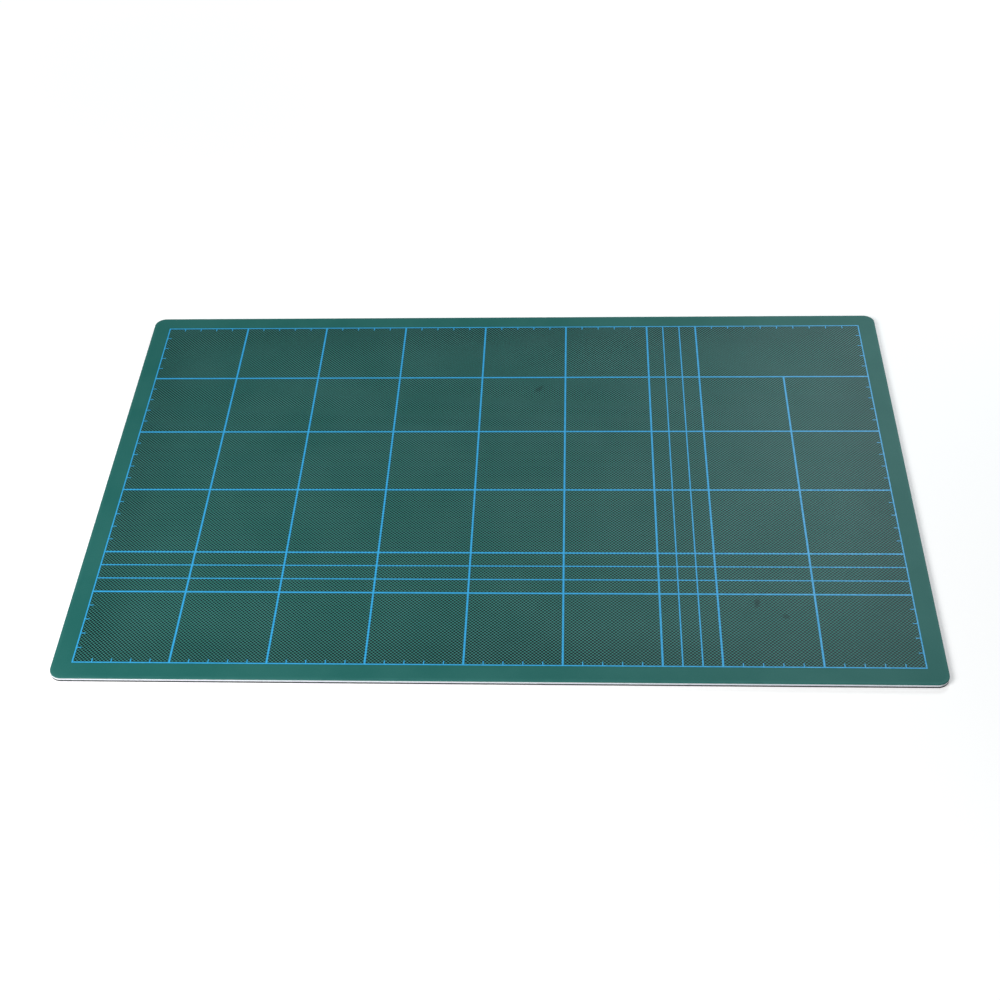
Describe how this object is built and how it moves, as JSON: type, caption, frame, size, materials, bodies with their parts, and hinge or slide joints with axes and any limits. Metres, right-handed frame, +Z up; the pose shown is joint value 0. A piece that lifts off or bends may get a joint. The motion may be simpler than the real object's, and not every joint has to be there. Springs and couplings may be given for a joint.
{
  "type": "cutting mat",
  "caption": "Flat rectangular self-healing cutting mat with rounded corners, laminated plies that show along its sides, and a centimetre grid with edge graduations over a screen of fine dots.",
  "frame": {"origin": "centre of the underside, on the surface that the mat lies on", "axes": "+X along the long side, to the user's right when the narrow strips of the grid are on the right and near the user; +Y away from the user; +Z up, out of the cutting surface"},
  "size_m": [0.451, 0.301, 0.003],
  "materials": {
    "green_pvc": "matte, fine grain",
    "dotted_green": "screen-printed dots on matte green",
    "white_core": "matte, die-cut",
    "charcoal_backing": "matte",
    "blue_ink": "screen-printed, semi-matte"
  },
  "bodies": {
    "root": {"top_ply": "green_pvc", "core_ply": "white_core", "bottom_ply": "charcoal_backing", "dot_print": "dotted_green", "grid_print": "blue_ink"}
  },
  "joints": []
}
